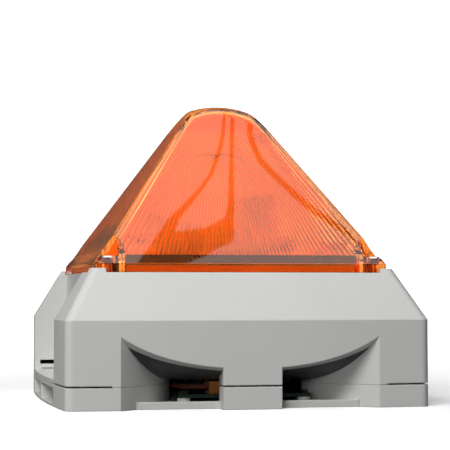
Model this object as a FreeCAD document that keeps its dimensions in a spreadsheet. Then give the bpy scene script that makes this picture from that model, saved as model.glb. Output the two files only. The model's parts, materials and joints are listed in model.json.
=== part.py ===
import FreeCAD, Part
import math
import os
import re
import Sketcher

# Flashing sounder: an amber pyramid beacon on a square two-part housing whose lower half is a sounder.
# Millimetres, +Z up, origin at the middle of the underside, front face towards -Y.

doc = FreeCAD.newDocument("flashing_sounder")
sizes = doc.addObject("Spreadsheet::Sheet", "sizes")

DIMENSIONS = {
    # housing outline: a square whose sides bow outwards
    "half_width": 85.5, "bow_radius": 960, "corner_radius": 4, "wall": 2.6, "fit_gap": 0.15,
    "base_height": 9.95, "cover_bottom": 10.65, "floor_thickness": 2.5,
    "shoulder_height": 39.1, "deck_height": 60.3, "lip_height": 62.2, "slope_run": 0.6,
    "deck_thickness": 3, "lip_start": 63,
    # sound outlets, posts and the bowl over them
    "post_half": 13.2, "post_depth": 10, "outlet_half": 59.3, "ramp_radius": 75,
    "ramp_end_x": 31, "ramp_end_y": 48, "plenum_half": 65.3, "rim_y": 77.5, "rim_height": 3.3,
    "bowl_bottom": 12, "bowl_flat": 62, "bowl_bend": 50, "bowl_wall": 2.2, "bowl_reach": 105,
    "mouth_radius": 26,
    # recesses in the two sides
    "recess_x": 68, "recess_y": 51, "ledge_top": 12.3, "pocket_bottom": 1.2, "pocket_top": 8.4,
    "catch_x": 75.8, "catch_bottom": 14.9, "catch_height": 2, "seam": 0.05,
    # lens
    "lens_half": 67.1, "skirt_top": 64.3, "lens_slope": 1.44, "lens_top": 142, "cap_radius": 45,
    "cap_start": 128, "lens_wall": 2.6, "lens_base": 60.5, "head_floor": 64.1,
    "well_offset": 61.5, "well_radius": 5.5, "well_wall": 2.4, "well_floor": 67.7, "well_run": 12,
    # fasteners
    "screw_radius": 1.9, "screw_bore": 2.35, "insert_radius": 3.1, "insert_bore": 1.95,
    "head_radius": 3.8, "head_height": 2.8, "tower_radius": 5.2, "washer_height": 0.8,
    "wall_hole_offset": 71, "wall_hole_radius": 2.75, "entry_radius": 10.2, "entry_y": 20,
    "spare_entry_x": 42,
    # circuit boards
    "board_thickness": 1.6, "base_board_z": 4.4, "base_board_y": -51, "control_board_z": 48.5,
    "control_board_top": 50.1, "flash_board_z": 73, "board_post_offset": 44, "board_post_radius": 3.4,
    "base_board_hole_x": 27.5, "base_board_hole_y": 15, "terminal_y": -60.5, "plug_y": -38,
    "tone_switch_x": -18, "volume_x": 17.5, "transformer_x": 41, "flash_spacer_offset": 24,
    "small_screw": 1.2, "small_head": 2.3, "small_head_height": 1.5,
    "carrier_half": 61.2, "carrier_seat": 64, "carrier_top": 67.7,
    "gasket_outside": 66.5, "gasket_inside": 64.7,
    # sounder driver, measured up from its seat on the bowl
    "driver_z": 15.2, "driver_radius": 34, "driver_opening": 27, "driver_hole": 0.9,
    "magnet_radius": 20, "coil_gap_inner": 7.2, "coil_gap_outer": 9.6,
}
for row, (alias, number) in enumerate(DIMENSIONS.items(), start=1):
    sizes.set(f"A{row}", alias)
    sizes.set(f"B{row}", str(number))
    sizes.setAlias(f"B{row}", alias)
doc.recompute()

CORNERS = [(-1, -1), (1, -1), (1, 1), (-1, 1)]
CORNER_NAMES = ["front_left", "front_right", "back_right", "back_left"]


def formula(text):
    """Expression over the sheet, written with the bare aliases."""
    return re.sub(r"[a-z_]+", lambda m: f"sizes.{m[0]}" if m[0] in DIMENSIONS else m[0], str(text))


def number(text):
    """What a formula is worth now."""
    result = sizes.evalExpression(formula(text))
    return float(result.Value) if hasattr(result, "Value") else float(result)


def bind(obj, prop, text):
    obj.setExpression(prop, formula(text))


def place(obj, x=0, y=0, z=0):
    for axis, text in (("x", x), ("y", y), ("z", z)):
        bind(obj, f"Placement.Base.{axis}", text)
    return obj


def add(kind, label):
    obj = doc.addObject(kind, label)
    obj.Label = label
    return obj


def box(label, lengths, centre=(0, 0), z=0):
    """Box centred in plan, standing on height z."""
    obj = add("Part::Box", label)
    for prop, text in zip(("Length", "Width", "Height"), lengths):
        bind(obj, prop, text)
    return place(obj, f"({centre[0]}) - ({lengths[0]}) / 2", f"({centre[1]}) - ({lengths[1]}) / 2", z)


def cylinder(label, radius, height, centre=(0, 0), z=0):
    obj = add("Part::Cylinder", label)
    bind(obj, "Radius", radius)
    bind(obj, "Height", height)
    return place(obj, centre[0], centre[1], z)


def cut(label, base, *tools):
    obj = add("Part::Cut", label)
    obj.Base = base
    obj.Tool = tools[0] if len(tools) == 1 else fuse(f"{label}_tools", tools)
    return obj


def fuse(label, shapes):
    obj = add("Part::MultiFuse", label)
    obj.Shapes = list(shapes)
    return obj


def common(label, *shapes):
    obj = add("Part::MultiCommon", label)
    obj.Shapes = list(shapes)
    return obj


def group(label, shapes):
    """Separate solids that share one node."""
    obj = add("Part::Compound", label)
    obj.Links = list(shapes)
    return obj


def arc_edge(start, end, radius):
    """Arc from start to end, anticlockwise for a positive radius and clockwise for a negative one."""
    if radius < 0:
        start, end = end, start
    chord = end - start
    middle = (start + end) / 2
    inward = FreeCAD.Vector(-chord.y, chord.x, 0).normalize()
    centre = middle + inward * math.sqrt(radius ** 2 - (chord.Length / 2) ** 2)
    angles = [math.atan2(point.y - centre.y, point.x - centre.x) for point in (start, end)]
    if angles[1] < angles[0]:
        angles[1] += 2 * math.pi
    circle = Part.Circle(centre, FreeCAD.Vector(0, 0, 1), abs(radius))
    return Part.ArcOfCircle(circle, angles[0], angles[1])


def draw(sketch, points):
    """Closed outline through points (x, y) or (x, y, radius), where radius bends the edge that follows.

    Going round, a positive radius bulges the edge to the right and a negative one to the left.
    """
    corners = [FreeCAD.Vector(number(point[0]), number(point[1]), 0) for point in points]
    starts = []
    for index, point in enumerate(points):
        start, end = corners[index], corners[(index + 1) % len(points)]
        radius = number(point[2]) if len(point) == 3 else 0
        sketch.addGeometry(arc_edge(start, end, radius) if radius else Part.LineSegment(start, end))
        starts.append(2 if radius < 0 else 1)
    for index in range(len(points)):
        following = (index + 1) % len(points)
        sketch.addConstraint(Sketcher.Constraint(
            "Coincident", index, 3 - starts[index], following, starts[following]))
    for index, point in enumerate(points):
        for axis, text in zip("XY", point[:2]):
            name = f"{axis.lower()}_{index}"
            fixed = sketch.addConstraint(Sketcher.Constraint(
                f"Distance{axis}", -1, 1, index, starts[index], number(text)))
            sketch.renameConstraint(fixed, name)
            bind(sketch, f"Constraints.{name}", text)
        if len(point) == 3:
            fixed = sketch.addConstraint(Sketcher.Constraint("Radius", index, abs(number(point[2]))))
            sketch.renameConstraint(fixed, f"radius_{index}")
            bind(sketch, f"Constraints.radius_{index}", f"abs({point[2]})")
    return sketch


def flat_sketch(label, points, z=0):
    return place(draw(add("Sketcher::SketchObject", label), points), 0, 0, z)


def prism(label, points, height, z=0):
    """Straight solid on an outline in plan."""
    obj = add("Part::Extrusion", label)
    obj.Base = flat_sketch(f"{label}_outline", points, z)
    obj.DirMode = "Custom"
    obj.Dir = FreeCAD.Vector(0, 0, 1)
    obj.Solid = True
    bind(obj, "LengthFwd", height)
    return obj


def body_sketch(body, role, points):
    sketch = body.newObject("Sketcher::SketchObject", f"{body.Label}_profile")
    plane = next(item for item in body.Origin.OriginFeatures if item.Role == role)
    sketch.AttachmentSupport = [(plane, "")]
    sketch.MapMode = "FlatFace"
    doc.recompute()
    return draw(sketch, points)


def turned(label, points, x=0, y=0, z=0):
    """Body of revolution about its own vertical axis; points are (radius, height)."""
    body = add("PartDesign::Body", label)
    sketch = body_sketch(body, "XZ_Plane", points)
    turn = body.newObject("PartDesign::Revolution", f"{label}_turn")
    turn.Profile = sketch
    turn.ReferenceAxis = (sketch, ["V_Axis"])
    turn.Angle = 360
    body.Tip = turn
    return place(body, x, y, z)


def square(half):
    """Corners of a square around the origin, anticlockwise."""
    return [(f"{x} * ({half})", f"{y} * ({half})") for x, y in CORNERS]


def bowed_square(half, corner):
    """Outline of the housing at one height: bowed sides joined by tangent corner arcs."""
    reach = f"(bow_radius - ({half}))"
    centre = f"((sqrt(2 * (bow_radius - ({corner})) ^ 2 - {reach} ^ 2) - {reach}) / 2)"
    near = f"(bow_radius * {centre} / (bow_radius - ({corner})))"
    far = f"(bow_radius * ({centre} + {reach}) / (bow_radius - ({corner})) - {reach})"
    points = []
    for a, b in ((1, 0), (0, 1), (-1, 0), (0, -1)):
        # a quarter turn for each corner, starting at the front right one
        start = (f"{a} * {near} + {b} * {far}", f"{b} * {near} - {a} * {far}", corner)
        end = (f"{a} * {far} + {b} * {near}", f"{b} * {far} - {a} * {near}", "bow_radius")
        points += [start, end]
    return points


def plenum(grow, front=95):
    """Plan of the sound space: flared mouths front and back, straight sides between the corner blocks."""
    mouth = (f"(outlet_half + {grow})", f"(half_width - 1 - {grow})")
    ramp = (f"(ramp_end_x + {grow})", f"(ramp_end_y + {grow})")
    side = f"(plenum_half + {grow})"
    bend = f"-(ramp_radius - {grow})"
    points = []
    for sign in ("1", "-1"):
        # each turn draws one half: its mouth, its ramp, its side and the next ramp
        points += [
            (f"-{sign} * {mouth[0]}", f"-{sign} * {front}"),
            (f"{sign} * {mouth[0]}", f"-{sign} * {front}"),
            (f"{sign} * {mouth[0]}", f"-{sign} * {mouth[1]}", bend),
            (f"{sign} * {ramp[0]}", f"-{sign} * {ramp[1]}"),
            (f"{sign} * {side}", f"-{sign} * {ramp[1]}"),
            (f"{sign} * {side}", f"{sign} * {ramp[1]}"),
            (f"{sign} * {ramp[0]}", f"{sign} * {ramp[1]}", bend),
            (f"{sign} * {mouth[0]}", f"{sign} * {mouth[1]}")]
    return points


def loft(label, sections):
    """Ruled solid through outlines in plan; sections are (outline points, height)."""
    obj = add("Part::Loft", label)
    obj.Sections = [flat_sketch(f"{label}_{index}", points, z)
                    for index, (points, z) in enumerate(sections)]
    obj.Solid = True
    obj.Ruled = True
    return obj


def sloped_half(z, inset=0):
    """Half width of the cover at a height above its shoulder."""
    return f"half_width - {inset} - slope_run * ({z} - shoulder_height)"


def at_corners(label, radius, height, offset, z):
    """Four equal upright cylinders, one near each corner."""
    return [cylinder(f"{label}_{name}", radius, height, (f"{x} * ({offset})", f"{y} * ({offset})"), z)
            for name, (x, y) in zip(CORNER_NAMES, CORNERS)]


def side_blocks(label, inner_x, half_y, bottom, top):
    """Two blocks that fill the side recesses outwards from inner_x."""
    return [box(f"{label}_{name}", ("30", f"2 * ({half_y})", f"({top}) - ({bottom})"),
                (f"{sign} * (({inner_x}) + 15)", "0"), bottom)
            for name, sign in (("left", -1), ("right", 1))]


def posts(label, grow, bottom, height):
    """Centre posts at the front and the back."""
    depth = f"post_depth + 8 + {grow}"
    return [box(f"{label}_{name}", (f"2 * (post_half + {grow})", depth, height),
                ("0", f"{sign} * (half_width + 8 - ({depth}) / 2)"), bottom)
            for name, sign in (("front", -1), ("back", 1))]


def revolved(label, points):
    obj = add("Part::Revolution", label)
    sketch = draw(add("Sketcher::SketchObject", f"{label}_profile"), points)
    sketch.Placement = FreeCAD.Placement(FreeCAD.Vector(), FreeCAD.Rotation(FreeCAD.Vector(1, 0, 0), 90))
    obj.Source = sketch
    obj.Axis = FreeCAD.Vector(0, 0, 1)
    obj.Angle = 360
    obj.Solid = True
    return obj


def square_ring(label, outside, inside, height, z):
    """Square frame; outside and inside are half widths."""
    return cut(label, box(f"{label}_outside", (f"2 * ({outside})", f"2 * ({outside})", height), z=z),
               box(f"{label}_inside", (f"2 * ({inside})", f"2 * ({inside})", f"2 * ({height})"),
                   z=f"{z} - ({height}) / 2"))


def drilled(label, radius, places, z, height):
    """Equal upright cylinders at places in plan."""
    return [cylinder(f"{label}_{index}", radius, height, place, z) for index, place in enumerate(places)]


def small_screws(label, places, seat, length, upward=False):
    """Pan-head screws that share one node; upward ones have their heads below the seat."""
    screws = []
    for index, place in enumerate(places):
        head_z = f"{seat} - small_head_height" if upward else seat
        shank_z = seat if upward else f"{seat} - {length}"
        head = cylinder(f"{label}_head_{index}", "small_head", "small_head_height", place, head_z)
        shank = cylinder(f"{label}_shank_{index}", "small_screw - 0.02", length, place, shank_z)
        slot_z = f"{seat} - small_head_height - 0.1" if upward else f"{seat} + small_head_height - 0.6"
        slot = box(f"{label}_slot_{index}", ("2.2 * small_head", "0.7", "0.7"), place, slot_z)
        screws.append(cut(f"{label}_{index}", fuse(f"{label}_blank_{index}", [head, shank]), slot))
    return group(label, screws)


def corner_screw(name, x, y):
    """Long captive screw that clamps lens, cover and base; its head sits in the lens well."""
    length = "(head_floor + washer_height - 3.2)"
    blank = turned(f"lens_screw_{name}_blank", [
        ("0", f"-{length}"), ("screw_radius - 0.5", f"-{length}"), ("screw_radius", f"-{length} + 0.8"),
        ("screw_radius", "0"), ("head_radius", "0"), ("head_radius", "head_height - 0.8"),
        ("head_radius - 0.9", "head_height"), ("0", "head_height")],
        f"{x} * well_offset", f"{y} * well_offset", "head_floor + washer_height")
    recess = [box(f"lens_screw_{name}_recess_{index}", sides, (f"{x} * well_offset", f"{y} * well_offset"),
                  "head_floor + washer_height + head_height - 1.6")
              for index, sides in enumerate((("4.4", "1", "2"), ("1", "4.4", "2")))]
    return cut(f"lens_screw_{name}", blank, *recess)


def wire(label, route, radius):
    """Round wire along straight runs joined by tangent arcs as large as the runs allow."""
    points = [FreeCAD.Vector(*point) for point in route]
    edges = []
    radii = []
    start = points[0]
    for before, corner, after in zip(points, points[1:], points[2:]):
        to_before = before - corner
        to_after = after - corner
        shorter = min(to_before.Length, to_after.Length)
        half_turn = (math.pi - to_before.getAngle(to_after)) / 2
        tangent = 0.45 * shorter
        radii.append(tangent / math.tan(half_turn))
        first = corner + to_before.normalize() * tangent
        last = corner + to_after.normalize() * tangent
        bisector = (to_before + to_after).normalize()
        middle = corner + bisector * (radii[-1] / math.cos(half_turn) - radii[-1])
        edges += [Part.LineSegment(start, first).toShape(), Part.Arc(first, middle, last).toShape()]
        start = last
    edges.append(Part.LineSegment(start, points[-1]).toShape())
    path = Part.Wire(edges)
    ring = Part.Wire(Part.makeCircle(radius, points[0], points[1] - points[0]))
    obj = add("Part::Feature", label)
    obj.Shape = path.makePipeShell([ring], True, False)
    expected = math.pi * radius ** 2 * path.Length
    print(label, "length", round(path.Length, 1), "smallest radius", round(min(radii), 1),
          "volume ratio", round(obj.Shape.Volume / expected, 3))
    return obj


def pyramid(label, inset, base, top_gap):
    """Square skirt and pyramid, capped by a sphere, all set in from the outside of the lens."""
    half = f"(lens_half - {inset})"
    faces_down = f"({inset} * sqrt(1 + lens_slope ^ 2) - {inset} * lens_slope)"
    walls = loft(f"{label}_walls", [(square(half), base), (square(half), f"skirt_top - {faces_down}"),
                                    (square("2"), f"skirt_top - {faces_down} + ({half} - 2) * lens_slope")])
    ball = add("Part::Sphere", f"{label}_cap")
    bind(ball, "Radius", f"cap_radius - {top_gap}")
    place(ball, 0, 0, "lens_top - cap_radius")
    below_cap = box(f"{label}_below_cap", ("200", "200", "cap_start - 20"), z="20")
    return common(label, walls, fuse(f"{label}_limit", [ball, below_cap]))


# ---- sound space and bowl ------------------------------------------------------------------------------

bowl_end_z = "(bowl_bottom + bowl_bend - sqrt(bowl_bend ^ 2 - (bowl_reach - bowl_flat) ^ 2))"
bowl_inner_bend = "(bowl_bend - bowl_wall)"
bowl_inner_end_z = (f"(bowl_bottom + bowl_bend"
                    f" - sqrt({bowl_inner_bend} ^ 2 - (bowl_reach - bowl_flat) ^ 2))")


over_bowl = revolved("over_bowl", [
    ("0", "bowl_bottom"), ("bowl_flat", "bowl_bottom", "bowl_bend"), ("bowl_reach", bowl_end_z),
    ("bowl_reach + 20", bowl_end_z), ("bowl_reach + 20", "lip_height + 5"), ("0", "lip_height + 5")])
bowl_shell = revolved("bowl_shell", [
    ("mouth_radius", "bowl_bottom"), ("bowl_flat", "bowl_bottom", "bowl_bend"), ("bowl_reach", bowl_end_z),
    ("bowl_reach", bowl_inner_end_z, f"-{bowl_inner_bend}"), ("bowl_flat", "bowl_bottom + bowl_wall"),
    ("mouth_radius", "bowl_bottom + bowl_wall")])

# ---- cover housing -------------------------------------------------------------------------------------

cover_outer = loft("cover_outer", [
    (bowed_square("half_width", "corner_radius"), "cover_bottom"),
    (bowed_square("half_width", "corner_radius"), "shoulder_height"),
    (bowed_square(sloped_half("lip_height"), "corner_radius"), "lip_height")])
inner_corner = "corner_radius - wall / 2"
cover_inner = loft("cover_inner", [
    (bowed_square("half_width - wall", inner_corner), "cover_bottom - 1"),
    (bowed_square("half_width - wall", inner_corner), "shoulder_height"),
    (bowed_square(sloped_half("deck_height - deck_thickness", "wall"), inner_corner),
     "deck_height - deck_thickness")])
deck_clearances = [
    box("deck_clear_x", ("2 * lip_start", "200", "10"), z="deck_height"),
    box("deck_clear_y", ("200", "2 * lip_start", "10"), z="deck_height"),
    box("deck_clear_lens", ("2 * (lens_half + 0.3)", "2 * (lens_half + 0.3)", "10"), z="deck_height")]
recesses = side_blocks("recess", "recess_x", "recess_y", "ledge_top", "80")
recess_walls = side_blocks("recess_wall", "recess_x - wall", "recess_y + wall", "0", "80")
cover_posts = posts("cover_post", "0", "cover_bottom - 5", "60")
post_hollows = [box(f"post_hollow_{name}", ("2 * (post_half - wall)", "post_depth", "bowl_bottom - 2"),
                    ("0", f"{sign} * (half_width - wall - post_depth / 2)"), "5")
                for name, sign in (("front", -1), ("back", 1))]
sound_plan = prism("sound_plan", plenum("0"), "60", "0")
sound_walls = prism("sound_walls", plenum("wall"), "60", "0")
sound_space = cut("sound_space", sound_plan, over_bowl, *cover_posts)
cover_corner_hollows = cut("cover_corner_hollows", cover_inner, sound_walls, *recess_walls)
cover_centre_hollow = common("cover_centre_hollow", cover_inner, over_bowl, sound_plan)
cover_hollow = cut("cover_hollow",
                   fuse("cover_hollows", [cover_corner_hollows, cover_centre_hollow]), *cover_posts)
cover_shell = cut("cover_shell", cover_outer, sound_space, cover_hollow,
                  *deck_clearances, *recesses, *post_hollows)
seam_outline = prism("seam_outline", bowed_square("half_width", "corner_radius"),
                     "cover_bottom - base_height - seam + 0.1", "base_height + seam")
seam_places = fuse("seam_places", [
    prism("seam_walls", plenum("wall"), "60", "0"),
    *side_blocks("seam_ledge", "recess_x - wall", "recess_y", "0", "80")])
seam_filler = cut("seam_filler", common("seam_filler_plan", seam_outline, seam_places), sound_plan,
                  box("seam_bowl_side", ("2 * (plenum_half + 0.01)", "2 * ramp_end_y", "30")))
catch_tabs = [box(f"catch_tab_{index}", ("10", "1.9", "1.7"),
                  (f"{x} * catch_x", f"{y} * (recess_y + 0.05)"), "catch_bottom - 1.9")
              for index, (x, y) in enumerate(CORNERS)]
cover_towers = at_corners("tower", "tower_radius", "deck_height - cover_bottom - 1", "well_offset",
                          "cover_bottom")
tower_bores = at_corners("tower_bore", "screw_bore", "80", "well_offset", "0")
lens_corner_gaps = at_corners("lens_corner_gap", "well_radius + well_wall + 0.5", "30", "well_offset",
                              "deck_height")


deck_rim_ring = square_ring("deck_rim_ring", "carrier_half", "carrier_half - 2.4",
                            "carrier_seat - deck_height + 1", "deck_height - 1")
deck_rim = cut("deck_rim", deck_rim_ring, *lens_corner_gaps)
catches = [box(f"catch_slot_{index}", ("11", "8", "catch_height"),
               (f"{x} * catch_x", f"{y} * recess_y"), "catch_bottom")
           for index, (x, y) in enumerate(CORNERS)]
wire_hole = cylinder("wire_hole", "7", "10", ("0", "30"), "deck_height - deck_thickness - 2")
gasket_groove = square_ring("gasket_groove", "gasket_outside", "gasket_inside", "5", "deck_height - 1")
board_posts = at_corners("board_post", "board_post_radius", "deck_height - 1 - control_board_top",
                         "board_post_offset", "control_board_top")
board_post_bores = at_corners("board_post_bore", "small_screw", "8", "board_post_offset",
                              "control_board_z - 1")
cover_with_towers = fuse("cover_with_towers", [
    cover_shell, seam_filler, deck_rim, *catch_tabs, *cover_towers, *board_posts])
cover_housing = cut("cover_housing", cover_with_towers, *tower_bores, *catches, wire_hole, gasket_groove,
                    *board_post_bores)

plug_slot = box("plug_slot", ("16.3", "3.3", "10"), ("0", "plug_y"), "bowl_bottom - 3")
driver_screw_places = [(f"32 * cos({angle})", f"32 * sin({angle})") for angle in (45, 135, 225, 315)]
bowl_screw_places = [(f"{x} * 23", f"{y} * 50") for x, y in CORNERS]
bowl_plan = prism("bowl_plan", plenum("-fit_gap"), "60", "0")
horn_bowl = cut("horn_bowl", common("bowl_in_plan", bowl_shell, bowl_plan, cover_inner),
                *posts("bowl_post_gap", "fit_gap", "0", "60"), plug_slot,
                *drilled("bowl_driver_hole", "driver_hole", driver_screw_places, "bowl_bottom + 0.6", "5"),
                *drilled("bowl_screw_hole", "small_screw", bowl_screw_places, "bowl_bottom - 1", "5"))

# ---- base housing --------------------------------------------------------------------------------------

base_outer = prism("base_outer", bowed_square("half_width", "corner_radius"), "base_height")
base_inner = prism("base_inner", bowed_square("half_width - wall", inner_corner), "20", "floor_thickness")
base_recess_walls = side_blocks("base_recess_wall", "recess_x - wall", "recess_y + wall", "0", "20")
base_corner_hollows = cut("base_corner_hollows", base_inner, sound_walls, *base_recess_walls)
base_centre = common("base_centre", sound_plan,
                     box("above_floor", ("200", "2 * (rim_y - 2)", "30"), z="floor_thickness"))
base_rim_space = common("base_rim_space", sound_plan,
                        box("above_rim", ("200", "200", "30"), z="rim_height"))
base_front_space = cut("base_front_space", prism("base_front_plan", plenum("0"), "30", "-5"),
                       box("inside_rim", ("200", "2 * rim_y", "40"), z="-6"))
base_posts = posts("base_post", "0", "-5", "40")
base_space = cut("base_space", fuse("base_spaces", [base_centre, base_rim_space, base_front_space]),
                 *base_posts)
pockets = [box(f"pocket_{name}", ("20", "recess_y - 4.5", "pocket_top - pocket_bottom"),
               (f"{x} * (recess_x + 10)", f"{y} * (recess_y / 2)"), "pocket_bottom")
           for name, (x, y) in zip(CORNER_NAMES, CORNERS)]
bosses = at_corners("boss", "tower_radius", "base_height - 1", "well_offset", "0.5")
insert_holes = at_corners("insert_hole", "insert_radius", "20", "well_offset", "floor_thickness")
wall_holes = at_corners("wall_hole", "wall_hole_radius", "20", "wall_hole_offset", "-5")
entry_holes = [cylinder("entry_hole", "entry_radius", "20", ("0", "entry_y"), "-5"),
               cylinder("spare_entry_hole", "entry_radius", "20", ("spare_entry_x", "entry_y"), "-5")]
base_shell = cut("base_shell", base_outer, base_corner_hollows, base_space, *pockets)
base_board_places = [(f"{x} * base_board_hole_x", f"base_board_y + {y} * base_board_hole_y")
                     for x, y in CORNERS]
base_board_pillars = drilled("base_board_pillar", "3", base_board_places, "1", "base_board_z - 1")
base_board_bores = drilled("base_board_bore", "small_screw", base_board_places, "2", "20")
base_moulding = cut("base_moulding", fuse("base_with_bosses", [base_shell, *bosses, *base_board_pillars]),
                    *insert_holes, *wall_holes, *entry_holes, *base_board_bores)
base_floor = common("base_floor", base_moulding, sound_plan)
base_outside = cut("base_outside", base_moulding, sound_plan)
base_corners = [common(f"base_corner_{name}", base_outside,
                       box(f"{name}_quarter", ("100", "100", "30"), (f"{x} * 50", f"{y} * 50")))
                for name, (x, y) in zip(CORNER_NAMES, CORNERS)]

# ---- screws --------------------------------------------------------------------------------------------

lens_screws = [corner_screw(name, x, y) for name, (x, y) in zip(CORNER_NAMES, CORNERS)]
seal_rings = at_corners("screw_seal_ring", "head_radius - 0.1", "washer_height", "well_offset", "head_floor")
seal_holes = at_corners("screw_seal_hole", "screw_radius + 0.1", "3", "well_offset", "head_floor - 1")
screw_seals = group("screw_seals", [
    cut(f"screw_seal_{name}", ring, hole)
    for name, ring, hole in zip(CORNER_NAMES, seal_rings, seal_holes)])
insert_tubes = at_corners("insert_tube", "insert_radius", "base_height - floor_thickness - 1", "well_offset",
                          "floor_thickness")
insert_bores = at_corners("insert_bore", "insert_bore", "20", "well_offset", "0")
screw_inserts = group("screw_inserts", [
    cut(f"screw_insert_{name}", tube, bore)
    for name, tube, bore in zip(CORNER_NAMES, insert_tubes, insert_bores)])

# ---- wiring side, in the base --------------------------------------------------------------------------

base_board_top = "(base_board_z + board_thickness)"
base_board_blank = box("base_board_blank", ("60", "36.5", "board_thickness"), ("0", "base_board_y"),
                       "base_board_z")
base_board = cut("base_board", base_board_blank, *base_board_bores)
base_board_screws = small_screws("base_board_screws", base_board_places, base_board_top, "3.8")
TERMINALS = [f"{index} * 5 - 12.5" for index in range(6)]
terminal_places = [(x, "terminal_y") for x in TERMINALS]
terminal_entries = [box(f"terminal_entry_{index}", ("3.2", "4", "2.4"), (x, "terminal_y + 6"),
                        f"{base_board_top} + 0.6") for index, x in enumerate(TERMINALS)]
terminal_block = cut("terminal_block",
                     box("terminal_blank", ("32", "12", "5.5"), ("0", "terminal_y"), base_board_top),
                     *drilled("terminal_well", "1.75", terminal_places, f"{base_board_top} + 3.4", "5"),
                     *terminal_entries)
terminal_screw_blanks = drilled("terminal_screw_blank", "1.6", terminal_places, f"{base_board_top} + 3.4",
                                "1.5")
terminal_screws = group("terminal_screws", [
    cut(f"terminal_screw_{index}", blank,
        box(f"terminal_screw_slot_{index}", ("4", "0.5", "1"), place, f"{base_board_top} + 4.3"))
    for index, (blank, place) in enumerate(zip(terminal_screw_blanks, terminal_places))])
contact_places = [(f"{index} * 4 - 6", "plug_y") for index in range(4)]
contact_socket = cut("contact_socket",
                     box("socket_blank", ("20", "7", "3.2"), ("0", "plug_y"), base_board_top),
                     *drilled("socket_hole", "0.6", contact_places, f"{base_board_top} + 0.3", "5"))
cable_grommet = turned("cable_grommet", [
    ("4", "0"), ("entry_radius - 0.05", "0"), ("entry_radius - 0.05", "floor_thickness"),
    ("entry_radius + 2", "floor_thickness"), ("entry_radius + 2", "floor_thickness + 1"),
    ("entry_radius + 1", "floor_thickness + 1.8"), ("6.5", "floor_thickness + 1.8"), ("6.5", "3"),
    ("4", "3")], 0, "entry_y", 0)

SLIDER_PITCH = 2.9
SLIDER_TRAVEL = 2
slider_places = [(f"tone_switch_x + {index - 1.5} * {SLIDER_PITCH}", "plug_y") for index in range(4)]
slider_windows = [box(f"tone_window_{index}", ("1.8", "4", "3"), place, f"{base_board_top} + 1.2")
                  for index, place in enumerate(slider_places)]
tone_switch_housing = cut("tone_switch_housing",
                          box("tone_switch_blank", ("12.6", "7", "2.4"), ("tone_switch_x", "plug_y"),
                              base_board_top), *slider_windows)
tone_sliders = [box(f"tone_slider_{index + 1}", ("1.7", "1.8", "1.9"), (x, f"{y} - {SLIDER_TRAVEL} / 2"),
                    f"{base_board_top} + 1.25") for index, (x, y) in enumerate(slider_places)]
volume_place = ("volume_x", "plug_y")
volume_control_body = cut("volume_control_body",
                          box("volume_blank", ("9", "9", "2.6"), volume_place, base_board_top),
                          cylinder("volume_pocket", "2.65", "3", volume_place, f"{base_board_top} + 1.2"))
volume_rotor = cut("volume_rotor",
                   cylinder("volume_rotor_blank", "2.6", "2.1", volume_place, f"{base_board_top} + 1.25"),
                   box("volume_rotor_slot", ("0.8", "4.2", "1"), volume_place, f"{base_board_top} + 2.6"))


WIRE_RADIUS = 1.1
wire_z = number(base_board_top) + 2.9
supply_wire_live = wire("supply_wire_live", [
    (-1.6, 22, 2.6), (-2.6, 18.5, 8.4), (-8.5, 11.5, 9.6), (-18, 0, wire_z), (-28.5, -13, wire_z),
    (-33, -28, wire_z), (-31.4, -40, wire_z), (-28.4, -50, wire_z), (-26.5, -60, wire_z),
    (-16, -63.2, wire_z)], WIRE_RADIUS)
supply_wire_neutral = wire("supply_wire_neutral", [
    (1.6, 22, 2.6), (1.4, 18.5, 8.4), (-4, 10.5, 9.6), (-14, -1.5, wire_z), (-24.5, -15, wire_z),
    (-29.4, -28, wire_z), (-28.8, -40, wire_z), (-25.6, -50, wire_z), (-22.8, -56.2, wire_z),
    (-16, -57.8, wire_z)], WIRE_RADIUS)

# ---- sounder and electronics, in the cover -------------------------------------------------------------

contact_plug = cut("contact_plug", fuse("plug_blank", [
    box("plug_body", ("20", "7", "2.3"), ("0", "plug_y"), "bowl_bottom - 2.3"),
    box("plug_stem", ("16", "3", "4"), ("0", "plug_y"), "bowl_bottom - 1.8")]),
    *drilled("plug_hole", "0.5", contact_places, "5", "20"))
pin_bottom = f"({base_board_top} + 0.5)"
contact_pins = group("contact_pins", drilled("contact_pin", "0.5", contact_places, pin_bottom,
                                             f"bowl_bottom + bowl_wall - {pin_bottom}"))
riser_board = box("riser_board", ("20", "board_thickness", "control_board_z - bowl_bottom - bowl_wall"),
                  ("0", "plug_y"), "bowl_bottom + bowl_wall")
bowl_screws = small_screws("bowl_screws", bowl_screw_places, "bowl_bottom", "2.1", upward=True)
driver_gasket = cut("driver_gasket", turned("driver_gasket_ring", [
    ("driver_opening", "0"), ("driver_radius", "0"), ("driver_radius", "1"), ("driver_opening", "1")],
    0, 0, "driver_z - 1"),
    *drilled("gasket_screw_hole", "driver_hole", driver_screw_places, "driver_z - 3", "6"))
driver_frame = cut("driver_frame", turned("driver_basket", [
    ("driver_opening", "0"), ("driver_radius", "0"), ("driver_radius", "2.2"), ("30", "2.2"),
    ("21", "13"), ("coil_gap_outer", "13"), ("coil_gap_outer", "11"), ("18.5", "11")], 0, 0, "driver_z"),
    *drilled("frame_screw_hole", "driver_hole", driver_screw_places, "driver_z - 3", "10"))
driver_magnet = turned("driver_magnet", [
    ("0", "13"), ("coil_gap_inner", "13"), ("coil_gap_inner", "22"), ("coil_gap_outer", "22"),
    ("coil_gap_outer", "13"), ("magnet_radius", "13"), ("magnet_radius", "25"), ("0", "25")],
    0, 0, "driver_z")
diaphragm = turned("diaphragm", [
    ("0", "8.8"), ("8.4", "8.8"), ("24.2", "0.6"), ("24.9", "1.4"), ("9", "9.6"), ("0", "9.6")],
    0, 0, "driver_z")
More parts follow.
